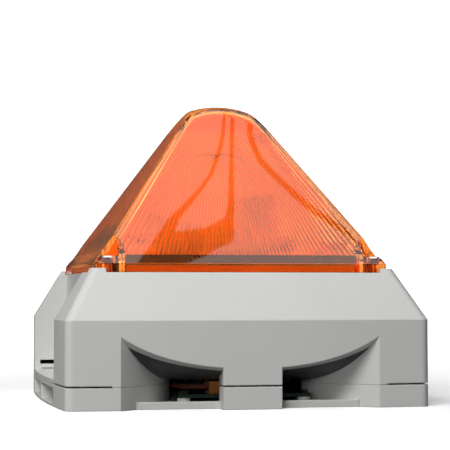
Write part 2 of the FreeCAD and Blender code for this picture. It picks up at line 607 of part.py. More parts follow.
voice_coil = turned("voice_coil", [
    ("7.9", "9.6"), ("8.9", "9.6"), ("8.9", "19"), ("7.9", "19")], 0, 0, "driver_z")
driver_screws = group("driver_screws", [
    fuse(f"driver_screw_{index}", [
        cylinder(f"driver_screw_head_{index}", "1.7", "1.3", place, "driver_z + 2.2"),
        cylinder(f"driver_screw_shank_{index}", "driver_hole - 0.02", "4.8", place, "driver_z - 2.5")])
    for index, place in enumerate(driver_screw_places)])
control_board = cut("control_board",
                    box("control_board_blank", ("104", "95", "board_thickness"), z="control_board_z"),
                    *at_corners("control_board_hole", "small_screw", "10", "board_post_offset",
                                "control_board_z - 5"))
control_board_screws = small_screws("control_board_screws", square("board_post_offset"),
                                    "control_board_z", "6.5", upward=True)
transformer_place = ("transformer_x", "0")
core_windows = [box(f"core_window_{index}", ("6.5", "20", "13"), (f"transformer_x + {sign} * 7.25", "0"),
                    "control_board_z - 17.5") for index, sign in enumerate((-1, 1))]
transformer_core = cut("transformer_core",
                       box("core_blank", ("30", "18", "22"), transformer_place, "control_board_z - 22"),
                       *core_windows)
transformer_coil = cut("transformer_coil",
                       box("coil_blank", ("20.8", "28", "12.8"), transformer_place,
                           "control_board_z - 17.4"),
                       box("coil_core_space", ("8", "18", "14"), transformer_place, "control_board_z - 18"))
board_capacitors = group("board_capacitors", drilled("board_capacitor", "6.5",
                                                     [("-45", "-14"), ("-45", "14")],
                                                     "control_board_z - 20", "20"))
amplifier_chip = box("amplifier_chip", ("18", "5", "14"), ("0", "44"), "control_board_z - 14")

# ---- flash unit, on the cover's deck -------------------------------------------------------------------

lens_gasket = square_ring("lens_gasket", "gasket_outside", "gasket_inside", "lens_base - deck_height + 1",
                          "deck_height - 1")
carrier_blank = box("carrier_blank", ("2 * carrier_half", "2 * carrier_half", "carrier_top - carrier_seat"),
                    z="carrier_seat")
carrier_underside = box("carrier_underside", ("2 * carrier_half - 4", "2 * carrier_half - 4",
                                              "carrier_top - carrier_seat - 1.6"), z="carrier_seat")
carrier_corners = [hole for index, offset in enumerate(("well_offset", "well_offset + 5"))
                   for hole in at_corners(f"carrier_corner_{index}", "well_radius + well_wall + 0.5", "20",
                                          offset, "carrier_seat - 5")]
carrier_plate = cut("carrier_plate", carrier_blank, carrier_underside, *carrier_corners,
                    cylinder("carrier_wire_hole", "7", "10", ("0", "30"), "carrier_seat"))
spacer_places = square("flash_spacer_offset")
spacer_tubes = drilled("flash_spacer_tube", "3", spacer_places, "carrier_top", "flash_board_z - carrier_top")
spacer_bores = drilled("flash_spacer_bore", "small_screw", spacer_places, "carrier_top - 5", "20")
flash_spacers = group("flash_spacers", [
    cut(f"flash_spacer_{index}", tube, bore)
    for index, (tube, bore) in enumerate(zip(spacer_tubes, spacer_bores))])
flash_board = cut("flash_board", box("flash_board_blank", ("60", "60", "board_thickness"), z="flash_board_z"),
                  *drilled("flash_board_hole", "small_screw", spacer_places, "flash_board_z - 5", "10"))
flash_board_top = "(flash_board_z + board_thickness)"
flash_board_screws = small_screws("flash_board_screws", spacer_places, flash_board_top, "6.8")
tube_holder = box("tube_holder", ("30", "12", "5.4"), z=flash_board_top)
tube_places = [("-9", "0"), ("9", "0")]
tube_electrodes = group("tube_electrodes", drilled("tube_electrode", "3.2", tube_places,
                                                   f"{flash_board_top} + 5.4", "3"))
tube_bend = add("Part::Torus", "tube_bend")
for prop, text in (("Radius1", "9"), ("Radius2", "3.2"), ("Angle3", "180")):
    bind(tube_bend, prop, text)
tube_bend.Placement.Rotation = FreeCAD.Rotation(FreeCAD.Vector(1, 0, 0), 90)
place(tube_bend, 0, 0, f"{flash_board_top} + 32")
tube_legs = drilled("tube_leg", "3.2", tube_places, f"{flash_board_top} + 8.4", "23.6")
flash_tube = fuse("flash_tube", [*tube_legs, tube_bend])
trigger_coil = cylinder("trigger_coil", "5", "12", ("-20", "10"), flash_board_top)
flash_capacitor = cylinder("flash_capacitor", "8", "22", ("14.5", "-17"), flash_board_top)

# ---- lens ----------------------------------------------------------------------------------------------

apex = "(skirt_top + lens_half * lens_slope)"


lens_outer = pyramid("lens_outer", "0", "lens_base", "0")
lens_inner = pyramid("lens_inner", "lens_wall", "lens_base - 1", "lens_wall")
well_columns = fuse("well_columns", at_corners("well_column", "well_radius + well_wall", "60", "well_offset",
                                               "lens_base"))
well_tubes = common("well_tubes", lens_outer, well_columns)
MOUTH_POINTS = ((0, 1), (1, 1), (1, -1), (0, -1))
well_mouths = [
    prism(f"well_mouth_{name}", [
        (f"{x} * (well_offset + {out} * well_run) + {side} * {y} * well_radius / sqrt(2)",
         f"{y} * (well_offset + {out} * well_run) - {side} * {x} * well_radius / sqrt(2)")
        for out, side in MOUTH_POINTS], "60", "well_floor")
    for name, (x, y) in zip(CORNER_NAMES, CORNERS)]
well_spaces = [*at_corners("well_space", "well_radius", "60", "well_offset", "well_floor"), *well_mouths,
               *at_corners("head_space", "head_radius + 0.4", "60", "well_offset", "head_floor")]
lens = cut("lens", fuse("lens_shell_with_wells", [cut("lens_shell", lens_outer, lens_inner), well_tubes]),
           *well_spaces, *tower_bores)

NODES = [
    base_floor, *base_corners, screw_inserts, base_board, base_board_screws, terminal_block,
    terminal_screws, contact_socket, cable_grommet, tone_switch_housing, *tone_sliders,
    volume_control_body, volume_rotor, supply_wire_live, supply_wire_neutral,
    cover_housing, horn_bowl, bowl_screws, contact_plug, contact_pins, riser_board, driver_gasket,
    driver_frame, driver_magnet, diaphragm, voice_coil, driver_screws, control_board,
    control_board_screws, transformer_core, transformer_coil, board_capacitors, amplifier_chip,
    lens_gasket, carrier_plate, flash_spacers, flash_board, flash_board_screws, tube_holder,
    tube_electrodes, flash_tube, trigger_coil, flash_capacitor,
    lens, screw_seals, *lens_screws]

# ---- check and write -----------------------------------------------------------------------------------

doc.recompute()
for obj in doc.Objects:
    if any(flag in obj.State for flag in ("Invalid", "Error")):
        raise RuntimeError(f"{obj.Label} failed: {obj.State}")
for node in NODES:
    if node.Shape.isNull() or not node.Shape.isValid():
        raise RuntimeError(f"{node.Label} has no valid shape")
os.makedirs("parts", exist_ok=True)
for node in NODES:
    node.Shape.exportStep(f"parts/{node.Label}.step")
    print(node.Label, len(node.Shape.Solids), round(node.Shape.Volume), node.Shape.BoundBox)
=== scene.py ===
import json
import math

import bmesh
import bpy
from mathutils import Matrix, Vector


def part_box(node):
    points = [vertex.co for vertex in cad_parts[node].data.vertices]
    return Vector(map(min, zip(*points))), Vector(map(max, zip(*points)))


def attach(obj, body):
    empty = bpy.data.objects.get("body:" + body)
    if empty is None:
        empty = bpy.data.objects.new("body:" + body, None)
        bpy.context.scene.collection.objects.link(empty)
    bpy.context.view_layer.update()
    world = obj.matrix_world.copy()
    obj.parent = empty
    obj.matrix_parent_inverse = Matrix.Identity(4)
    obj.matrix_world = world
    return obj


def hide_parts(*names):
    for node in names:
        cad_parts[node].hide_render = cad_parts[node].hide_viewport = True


# Flashing sounder: amber pyramid lens with inner ribs on a light grey two-part housing.
# Metres, +Z up, front face towards -Y. Lengths named *_MM are in millimetres.

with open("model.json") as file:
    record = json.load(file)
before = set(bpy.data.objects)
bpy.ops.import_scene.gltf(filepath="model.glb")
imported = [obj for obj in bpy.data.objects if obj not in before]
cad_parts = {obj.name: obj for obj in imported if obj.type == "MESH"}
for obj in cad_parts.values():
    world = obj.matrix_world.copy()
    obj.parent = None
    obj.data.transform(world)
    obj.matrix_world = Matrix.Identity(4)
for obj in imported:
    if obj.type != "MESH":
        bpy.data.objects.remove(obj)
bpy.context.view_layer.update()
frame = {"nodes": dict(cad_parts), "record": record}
MM = 0.001
scene = bpy.context.scene


# ---- mesh helpers --------------------------------------------------------------------------------------

def mesh_object(name, bm):
    """New object from a bmesh in millimetres, at the origin."""
    bmesh.ops.recalc_face_normals(bm, faces=bm.faces)
    bmesh.ops.scale(bm, vec=(MM, MM, MM), verts=bm.verts)
    mesh = bpy.data.meshes.new(name)
    bm.to_mesh(mesh)
    bm.free()
    obj = bpy.data.objects.new(name, mesh)
    scene.collection.objects.link(obj)
    return obj


def shade(obj, angle_deg):
    """Smooth shading that keeps edges sharper than the angle."""
    bm = bmesh.new()
    bm.from_mesh(obj.data)
    limit = math.radians(angle_deg)
    for face in bm.faces:
        face.smooth = True
    for edge in bm.edges:
        edge.smooth = len(edge.link_faces) == 2 and edge.calc_face_angle(0) < limit
    bm.to_mesh(obj.data)
    bm.free()
    return obj


def stacked(name, rings, tip=None):
    """Closed solid through rings of equal point counts, flat below and with a point or a flat cap on top."""
    bm = bmesh.new()
    loops = [[bm.verts.new(point) for point in ring] for ring in rings]
    count = len(loops[0])
    for low, high in zip(loops, loops[1:]):
        for i in range(count):
            j = (i + 1) % count
            bm.faces.new((low[i], low[j], high[j], high[i]))
    bm.faces.new(list(reversed(loops[0])))
    if tip is None:
        bm.faces.new(loops[-1])
    else:
        top = bm.verts.new(tip)
        for i in range(count):
            bm.faces.new((loops[-1][i], loops[-1][(i + 1) % count], top))
    return mesh_object(name, bm)


def column(name, outline, bottom, top):
    return stacked(name, [[(x, y, z) for x, y in outline] for z in (bottom, top)])


def circle(x, y, radius, count=48):
    steps = [math.tau * i / count for i in range(count)]
    return [(x + radius * math.cos(a), y + radius * math.sin(a)) for a in steps]


def slot_outline(x, y, radius, run, count=24):
    """Round-ended slot that starts at x, y and runs outwards along its diagonal."""
    heading = math.atan2(y, x)
    far = (x + run * math.cos(heading), y + run * math.sin(heading))
    points = []
    for centre, start in ((far, heading - math.pi / 2), ((x, y), heading + math.pi / 2)):
        for i in range(count + 1):
            angle = start + math.pi * i / count
            points.append((centre[0] + radius * math.cos(angle), centre[1] + radius * math.sin(angle)))
    return points


def combine(target, tool, operation):
    """Applies a boolean to target and drops the tool."""
    modifier = target.modifiers.new("combine", "BOOLEAN")
    modifier.operation = operation
    modifier.object = tool
    modifier.solver = "MANIFOLD"
    bpy.context.view_layer.update()
    shaped = target.evaluated_get(bpy.context.evaluated_depsgraph_get())
    result = bpy.data.meshes.new_from_object(shaped)
    target.modifiers.clear()
    target.data = result
    bpy.data.objects.remove(tool)
    return target


# ---- lens ----------------------------------------------------------------------------------------------

def box_mm(node):
    """Lowest and highest corners of a CAD node in millimetres, to a hundredth."""
    return [[round(value / MM, 2) for value in corner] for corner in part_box(node)]


lens_low, lens_high = box_mm("lens")
screw_low, screw_high = box_mm("lens_screw_back_right")

# The lens stands just clear of its gasket. LENS_SLOPE is the rise of a face over its run.
GASKET_GAP_MM = 0.02
LENS_HALF_MM, LENS_TOP_MM, LENS_BASE_MM = lens_high[0], lens_high[2], lens_low[2] + GASKET_GAP_MM
SKIRT_TOP_MM, LENS_SLOPE, LENS_WALL_MM = 64.3, 1.44, 2.6
EDGE_ROUND_MM, INNER_ROUND_MM = 2.6, 1.2

# The dome is part of a sphere. It blends into the four faces over a height that starts at CAP_START_MM.
CAP_RADIUS_MM, CAP_START_MM, CAP_FADE_MM = 45.0, 128.0, 4.0
CAP_BLEND_MM, LEAST_BLEND_MM = 2.4, 0.01

# Ribs inside the faces. RIB_DEPTH is a share of a rib's pitch.
RIBS, SAMPLES_PER_RIB, RIB_DEPTH, RIB_SHARPNESS = 240, 4, 0.13, 1.5
RIB_LOW_MM, RIB_HIGH_MM = 68.0, 127.0

# Half widths of the rings, from the skirt over the faces to near the tip.
OUTER_POINTS, BELOW_EDGE_MM = 480, 0.3
FACE_END_MM, DOME_START_MM, NEAR_TIP_MM = 24, 23, 1
FACE_STEPS, DOME_STEPS, RIB_STEPS, INNER_DOME_STEPS = 12, 44, 10, 30
RIB_LEAD_MM, RIB_RUNOUT_MM = 0.1, 0.15

# Screw wells in the corners: a slot open to the outside, a space for the head and a bore for the shank.
WELL_OFFSET_MM = (screw_low[0] + screw_high[0]) / 2
WELL_RADIUS_MM, WELL_WALL_MM, WELL_FLOOR_MM, WELL_RUN_MM = 5.5, 2.4, 67.7, 12
HEAD_FLOOR_MM, HEAD_SPACE_MM, SCREW_BORE_MM = 64.1, 4.2, 2.35
BORE_POINTS = 40
CORNERS = [(-1, -1), (1, -1), (1, 1), (-1, 1)]

# The hollow reaches below the lens by the margin, and the cutting columns end clear of it at both ends.
CUT_MARGIN_MM = 1
BELOW_LENS_MM, BORE_TOP_MM, COLUMN_TOP_MM, WELL_TOP_MM = 50, 80, 100, 110
SMOOTH_ANGLE_DEG = 28


def square_reach(angle, half, rounding):
    """Distance from the middle to a rounded square along an angle."""
    c, s = abs(math.cos(angle)), abs(math.sin(angle))
    c, s = max(c, s), min(c, s)
    rounding = min(rounding, half)
    flat = half - rounding
    if half * s / c <= flat:
        return half / c
    along = flat * (c + s)
    return along + math.sqrt(max(along ** 2 - 2 * flat ** 2 + rounding ** 2, 0))


def smooth_min(a, b, blend):
    overlap = max(blend - abs(a - b), 0)
    return min(a, b) - overlap ** 2 / (4 * blend)


def skirt_height(inset):
    """Height of the foot of the slope on a surface that lies inset from the outside."""
    return SKIRT_TOP_MM - inset * (math.sqrt(1 + LENS_SLOPE ** 2) - LENS_SLOPE)


def rib_cut(index, angle, width):
    """How far a rib stands in from the face at one point of a ring."""
    facing = max(abs(math.cos(angle)), abs(math.sin(angle)))
    pitch = width * math.tau / RIBS / facing ** 2
    phase = (index % SAMPLES_PER_RIB) / SAMPLES_PER_RIB
    return RIB_DEPTH * pitch / facing * abs(math.cos(math.pi * phase)) ** RIB_SHARPNESS


def capped(slope_z, reach, inset):
    """Height of a point on the slope once the dome is blended over it."""
    fade = min(max((slope_z - CAP_START_MM) / CAP_FADE_MM, 0), 1)
    if fade == 0:
        return slope_z
    radius = CAP_RADIUS_MM - inset
    dome_z = LENS_TOP_MM - CAP_RADIUS_MM + math.sqrt(max(radius ** 2 - reach ** 2, 0))
    return smooth_min(slope_z, dome_z, max(CAP_BLEND_MM * fade, LEAST_BLEND_MM))


def pyramid_rings(inset, rounding, bottom, widths, count, ribbed=False):
    """Rings of a capped square pyramid: one at the bottom of its skirt, then one at each half width."""
    half = LENS_HALF_MM - inset
    skirt = skirt_height(inset)
    angles = [math.tau * (i + 0.5) / count for i in range(count)]
    foot = []
    for angle in angles:
        reach = square_reach(angle, half, rounding)
        foot.append((reach * math.cos(angle), reach * math.sin(angle), bottom))
    rings = [foot]
    for width in widths:
        slope_z = skirt + (half - width) * LENS_SLOPE
        ring = []
        for i, angle in enumerate(angles):
            reach = square_reach(angle, width, rounding)
            if ribbed and RIB_LOW_MM <= slope_z <= RIB_HIGH_MM:
                reach -= rib_cut(i, angle, width)
            ring.append((reach * math.cos(angle), reach * math.sin(angle), capped(slope_z, reach, inset)))
        rings.append(ring)
    return rings


def steps(first, last, count):
    return [first + (last - first) * i / count for i in range(count + 1)]


def lens_outside():
    widths = ([LENS_HALF_MM] + steps(LENS_HALF_MM - BELOW_EDGE_MM, FACE_END_MM, FACE_STEPS)
              + steps(DOME_START_MM, NEAR_TIP_MM, DOME_STEPS))
    rings = pyramid_rings(0, EDGE_ROUND_MM, LENS_BASE_MM, widths, OUTER_POINTS)
    return stacked("amber_lens", rings, (0, 0, LENS_TOP_MM))


def lens_hollow():
    """Ribbed space inside the lens, which leaves a column of plastic round each screw well."""
    half = LENS_HALF_MM - LENS_WALL_MM
    skirt = skirt_height(LENS_WALL_MM)
    rib_start = half - (RIB_LOW_MM - skirt) / LENS_SLOPE
    rib_end = half - (RIB_HIGH_MM - skirt) / LENS_SLOPE
    widths = ([half, rib_start + RIB_LEAD_MM] + steps(rib_start, rib_end, RIB_STEPS)
              + steps(rib_end - RIB_RUNOUT_MM, NEAR_TIP_MM, INNER_DOME_STEPS))
    rings = pyramid_rings(LENS_WALL_MM, INNER_ROUND_MM, LENS_BASE_MM - CUT_MARGIN_MM, widths,
                          RIBS * SAMPLES_PER_RIB, ribbed=True)
    hollow = stacked("hollow", rings, (0, 0, LENS_TOP_MM - LENS_WALL_MM))
    for i, (x, y) in enumerate(CORNERS):
        wall = circle(x * WELL_OFFSET_MM, y * WELL_OFFSET_MM, WELL_RADIUS_MM + WELL_WALL_MM)
        hollow = combine(hollow, column(f"well_wall_{i}", wall, BELOW_LENS_MM, COLUMN_TOP_MM), "DIFFERENCE")
    return hollow


def build_lens():
    outside = lens_outside()
    lens = combine(outside, lens_hollow(), "DIFFERENCE")
    for i, (x, y) in enumerate(CORNERS):
        middle = (x * WELL_OFFSET_MM, y * WELL_OFFSET_MM)
        well = slot_outline(*middle, WELL_RADIUS_MM, WELL_RUN_MM)
        lens = combine(lens, column(f"well_{i}", well, WELL_FLOOR_MM, WELL_TOP_MM), "DIFFERENCE")
        for radius, bottom in ((HEAD_SPACE_MM, HEAD_FLOOR_MM), (SCREW_BORE_MM, BELOW_LENS_MM)):
            bore = circle(*middle, radius, BORE_POINTS)
            lens = combine(lens, column(f"bore_{i}", bore, bottom, BORE_TOP_MM), "DIFFERENCE")
    return shade(lens, SMOOTH_ANGLE_DEG)


# ---- materials -----------------------------------------------------------------------------------------

def new_material(name):
    material = bpy.data.materials.new(name)
    material.use_nodes = True
    tree = material.node_tree
    shader = tree.nodes["Principled BSDF"]
    where = tree.nodes.new("ShaderNodeTexCoord")
    return material, tree, shader, where.outputs["Object"]


def noise(tree, where, scale, detail=3.0, roughness=0.5):
    node = tree.nodes.new("ShaderNodeTexNoise")
    node.inputs["Scale"].default_value = scale
    node.inputs["Detail"].default_value = detail
    node.inputs["Roughness"].default_value = roughness
    tree.links.new(where, node.inputs["Vector"])
    return node.outputs["Fac"]


def map_range(tree, value, from_low, from_high, to_low=0.0, to_high=1.0):
    """Maps from_low to from_high onto to_low to to_high, and holds the ends."""
    node = tree.nodes.new("ShaderNodeMapRange")
    ends = (("From Min", from_low), ("From Max", from_high), ("To Min", to_low), ("To Max", to_high))
    for name, number in ends:
        node.inputs[name].default_value = number
    tree.links.new(value, node.inputs["Value"])
    return node.outputs["Result"]


NOISE_LOW, NOISE_HIGH = 0.3, 0.7    # most of a noise lies between these


def spread(tree, value, low, high):
    return map_range(tree, value, NOISE_LOW, NOISE_HIGH, low, high)


def arithmetic(tree, operation, first, second):
    """Math node on two sockets or numbers."""
    node = tree.nodes.new("ShaderNodeMath")
    node.operation = operation
    for socket, term in zip(node.inputs, (first, second)):
        if isinstance(term, (int, float)):
            socket.default_value = term
        else:
            tree.links.new(term, socket)
    return node.outputs[0]


def two_tone(tree, factor, first, second):
    """Mixes two colours, each a tuple or a socket."""
    node = tree.nodes.new("ShaderNodeMix")
    node.data_type = "RGBA"
    for name, colour in (("A", first), ("B", second)):
        if isinstance(colour, tuple):
            node.inputs[name].default_value = (*colour, 1)
        else:
            tree.links.new(colour, node.inputs[name])
    tree.links.new(factor, node.inputs["Factor"])
    return node.outputs["Result"]


def bump(tree, shader, height, strength, distance_mm, round_mm=0):
    node = tree.nodes.new("ShaderNodeBump")
    node.inputs["Strength"].default_value = strength
    node.inputs["Distance"].default_value = distance_mm * MM
    tree.links.new(height, node.inputs["Height"])
    if round_mm:
        soft = tree.nodes.new("ShaderNodeBevel")
        soft.samples = 6
        soft.inputs["Radius"].default_value = round_mm * MM
        tree.links.new(soft.outputs["Normal"], node.inputs["Normal"])
    tree.links.new(node.outputs["Normal"], shader.inputs["Normal"])


def darker(colour, share):
    return tuple(channel * share for channel in colour)


def plastic(name, colour, roughness, grain_mm=0.35, grain=0.12, tone=0.965, round_mm=0.0, shine=0.5):
    """Moulded plastic: a fine eroded grain, slow changes of tone and of gloss."""
    material, tree, shader, where = new_material(name)
    slow = noise(tree, where, scale=28, detail=2)
    tree.links.new(two_tone(tree, spread(tree, slow, 0, 1), darker(colour, tone), colour),
                   shader.inputs["Base Color"])
    tree.links.new(spread(tree, noise(tree, where, scale=90, detail=4), roughness - 0.05, roughness + 0.06),
                   shader.inputs["Roughness"])
    shader.inputs["Specular IOR Level"].default_value = shine
    bump(tree, shader, noise(tree, where, scale=1 / (grain_mm * MM), detail=2),
         strength=grain, distance_mm=0.05, round_mm=round_mm)
    return material


def metal(name, colour, roughness, scale=(900, 900, 60)):
    """Machined or plated metal with fine marks along one direction."""
    material, tree, shader, where = new_material(name)
    stretch = tree.nodes.new("ShaderNodeMapping")
    stretch.inputs["Scale"].default_value = scale
    tree.links.new(where, stretch.inputs["Vector"])
    marks = noise(tree, stretch.outputs["Vector"], scale=1.0, detail=4)
    tree.links.new(two_tone(tree, spread(tree, marks, 0, 1), darker(colour, 0.82), colour),
                   shader.inputs["Base Color"])
    tree.links.new(spread(tree, marks, roughness - 0.08, roughness + 0.1), shader.inputs["Roughness"])
    shader.inputs["Metallic"].default_value = 1.0
    bump(tree, shader, marks, strength=0.15, distance_mm=0.03)
    return material


def circuit_board(name, mask, track):
    """Solder mask with copper tracks under it."""
    material, tree, shader, where = new_material(name)
    tracks = tree.nodes.new("ShaderNodeTexBrick")
    tracks.inputs["Scale"].default_value = 150
    tracks.inputs["Mortar Size"].default_value = 0.06
    tracks.inputs["Mortar Smooth"].default_value = 0.1
    tracks.inputs["Brick Width"].default_value = 1.3
    tracks.inputs["Row Height"].default_value = 0.37
    tree.links.new(where, tracks.inputs["Vector"])
    tree.links.new(two_tone(tree, tracks.outputs["Fac"], mask, track), shader.inputs["Base Color"])
    tree.links.new(spread(tree, noise(tree, where, scale=300), 0.24, 0.4), shader.inputs["Roughness"])
    bump(tree, shader, tracks.outputs["Fac"], strength=0.25, distance_mm=0.05)
    return material


# The third amber is a painted highlight, laid as paler amber along the thin lines between the ribs.
AMBER_DEEP, AMBER_LIGHT, AMBER_RIB_HIGHLIGHT = (0.91, 0.245, 0.03), (0.95, 0.29, 0.05), (0.98, 0.44, 0.13)
AMBER_IOR, GLASS_IOR = 1.54, 1.47
HIGHLIGHTS_FULL, HIGHLIGHTS_GONE = 0.0688, 0.131      # heights at which the painted highlight lines are first full and last gone
HIGHLIGHT_EDGE, HIGHLIGHT_CORE = 0.26, 0.08           # half widths of a painted highlight line, as shares of the pitch


def make_clear(shader, ior):
    shader.inputs["Transmission Weight"].default_value = 1.0
    shader.inputs["IOR"].default_value = ior
    shader.inputs["Roughness"].default_value = 0.02


def painted_rib_highlights(tree, where):
    """1 along the painted highlight line between two ribs, 0 elsewhere."""
    place = tree.nodes.new("ShaderNodeSeparateXYZ")
    tree.links.new(where, place.inputs["Vector"])
    azimuth = arithmetic(tree, "ARCTAN2", place.outputs["Y"], place.outputs["X"])
    across = arithmetic(tree, "FRACT", arithmetic(tree, "MULTIPLY", azimuth, RIBS / math.tau), 0)
    valley = 0.5 + 0.5 / SAMPLES_PER_RIB
    from_valley = arithmetic(tree, "ABSOLUTE", arithmetic(tree, "SUBTRACT", across, valley), 0)
    height = place.outputs["Z"]
    ribbed = arithmetic(tree, "MULTIPLY", map_range(tree, height, RIB_LOW_MM * MM, HIGHLIGHTS_FULL),
                        map_range(tree, height, HIGHLIGHTS_GONE, RIB_HIGH_MM * MM))
    return arithmetic(tree, "MULTIPLY", ribbed, map_range(tree, from_valley, HIGHLIGHT_EDGE, HIGHLIGHT_CORE))


def amber():
    """Clear amber plastic, with a painted highlight along the thin line between two ribs."""
    material, tree, shader, where = new_material("amber_plastic_rib_highlights")
    tone = two_tone(tree, spread(tree, noise(tree, where, scale=14, detail=2), 0, 1), AMBER_DEEP, AMBER_LIGHT)
    tree.links.new(two_tone(tree, painted_rib_highlights(tree, where), tone, AMBER_RIB_HIGHLIGHT), shader.inputs["Base Color"])
    make_clear(shader, AMBER_IOR)
    bump(tree, shader, noise(tree, where, scale=22, detail=1), strength=0.02, distance_mm=0.4)
    return material


def clear_glass(name):
    material, tree, shader, where = new_material(name)
    streaks = spread(tree, noise(tree, where, scale=80, detail=2), 0, 1)
    tone = two_tone(tree, streaks, (0.95, 0.97, 0.98), (1, 1, 1))
    tree.links.new(tone, shader.inputs["Base Color"])
    make_clear(shader, GLASS_IOR)
    bump(tree, shader, noise(tree, where, scale=120, detail=1), strength=0.05, distance_mm=0.1)
    return material


SLOT_MATERIALS = {
    "housing_grey": plastic("housing_plastic", (0.70, 0.708, 0.685), 0.40, round_mm=0.7),
    "bowl_dark": plastic("bowl_plastic", (0.04, 0.041, 0.042), 0.42),
    "terminal_orange": plastic("terminal_plastic", (0.42, 0.14, 0.035), 0.42),
    "screw_steel": metal("screw_steel", (0.62, 0.61, 0.59), 0.3),
    "contact_brass": metal("contact_brass", (0.72, 0.52, 0.22), 0.28),
    "circuit_board": circuit_board("board_laminate", (0.02, 0.14, 0.06), (0.05, 0.24, 0.10)),
    "black_plastic": plastic("black_plastic", (0.02, 0.02, 0.021), 0.38),
    "switch_blue": plastic("switch_plastic", (0.03, 0.09, 0.35), 0.36),
    "switch_white": plastic("slider_plastic", (0.75, 0.75, 0.72), 0.4),
    "seal_rubber": plastic("seal_rubber", (0.025, 0.025, 0.025), 0.7, grain_mm=0.6, grain=0.3),
    "wire_red_brown": plastic("wire_brown", (0.12, 0.035, 0.018), 0.45, grain_mm=0.5),
    "wire_dark_blue": plastic("wire_blue", (0.015, 0.04, 0.14), 0.45, grain_mm=0.5),
    "magnet_iron": metal("magnet_iron", (0.16, 0.16, 0.165), 0.45, scale=(500, 500, 500)),
    "cone_film": plastic("cone_film", (0.32, 0.22, 0.09), 0.3, grain_mm=0.8, grain=0.2),
    "coil_copper": metal("coil_copper", (0.68, 0.28, 0.12), 0.3, scale=(60, 60, 2500)),
    "coil_tape": plastic("coil_tape", (0.48, 0.34, 0.06), 0.35, grain_mm=0.9, grain=0.25, tone=0.85),
    "capacitor_sleeve": plastic("capacitor_sleeve", (0.03, 0.035, 0.05), 0.3, grain_mm=0.9),
    "carrier_dark": plastic("carrier_plastic", (0.008, 0.008, 0.009), 0.8, shine=0.1),
    "spacer_nylon": plastic("spacer_nylon", (0.72, 0.71, 0.66), 0.5),
    "tube_glass": clear_glass("tube_glass"),
    "amber_lens": amber(),
}

NODE_MATERIALS = {
    # Painted light: the lamp board under the lens is a pale copy of the board laminate, lighter to stand in
    # for light where it sits in shade.
    "flash_board": circuit_board("lamp_board_painted_light", (0.84, 0.84, 0.82), (0.78, 0.78, 0.75)),
    # Painted shade: the wiring board in the base and the screws of the base board and bowl are darkened
    # copies of their materials, standing in for the shade inside the base and under the bowl.
    "base_board": circuit_board("wiring_board_painted_shade", (0.006, 0.014, 0.009), (0.014, 0.030, 0.018)),
    "base_board_screws": metal("base_screw_steel_painted_shade", (0.10, 0.10, 0.10), 0.5),
    "bowl_screws": metal("bowl_screw_steel_painted_shade", (0.10, 0.10, 0.10), 0.5),
    # Painted light: the screws, spacers, capacitor, trigger coil, tube holder and electrodes under the lens
    # are pale copies of their materials, lighter to cancel the shade they sit in.
    "flash_board_screws": metal("flash_screw_steel_painted_light", (0.85, 0.85, 0.84), 0.4),
    "flash_spacers": plastic("spacer_nylon_painted_light", (0.82, 0.82, 0.80), 0.5),
    "flash_capacitor": plastic("capacitor_sleeve_painted_light", (0.80, 0.80, 0.78), 0.45, grain_mm=0.9),
    "trigger_coil": plastic("trigger_coil_tape_painted_light", (0.82, 0.81, 0.76), 0.45,
                            grain_mm=0.9, grain=0.25, tone=0.85),
    "tube_holder": plastic("tube_holder_painted_light", (0.84, 0.84, 0.82), 0.45),
    "tube_electrodes": metal("tube_electrode_painted_light", (0.85, 0.84, 0.81), 0.35),
}

slot_of = {part["node"]: part["material_slot"] for part in frame["record"]["subparts"]}
for node_name, node in frame["nodes"].items():
    for holder in node.material_slots:
        holder.material = NODE_MATERIALS.get(node_name) or SLOT_MATERIALS[slot_of[node_name]]

lens = build_lens()
lens.data.materials.clear()
lens.data.materials.append(SLOT_MATERIALS["amber_lens"])
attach(lens, "lens")
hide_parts("lens")


# ---- floor, light and camera ---------------------------------------------------------------------------

FLOOR_HALF = 12.0
FLOOR_NEAR, FLOOR_FAR = 0.16, 0.9           # distances over which the floor's glow grows
FLOOR_GLOW_NEAR, FLOOR_GLOW_FAR = 0.42, 1.35
PAPER_DARK, PAPER_LIGHT, FLOOR_INDIRECT = (0.86, 0.86, 0.86), (0.88, 0.88, 0.88), (0.12, 0.12, 0.12)


def flat_panel(name, outline, height):
    """Flat sheet through points x, y in metres."""
    bm = bmesh.new()
    bm.faces.new([bm.verts.new((x / MM, y / MM, height / MM)) for x, y in outline])
    return mesh_object(name, bm)


def seen_directly(tree):
    """1 for what is seen straight or through clear plastic, 0 for reflected and scattered light."""
    rays = tree.nodes.new("ShaderNodeLightPath")
    return arithmetic(tree, "MAXIMUM", rays.outputs["Is Camera Ray"], rays.outputs["Is Transmission Ray"])


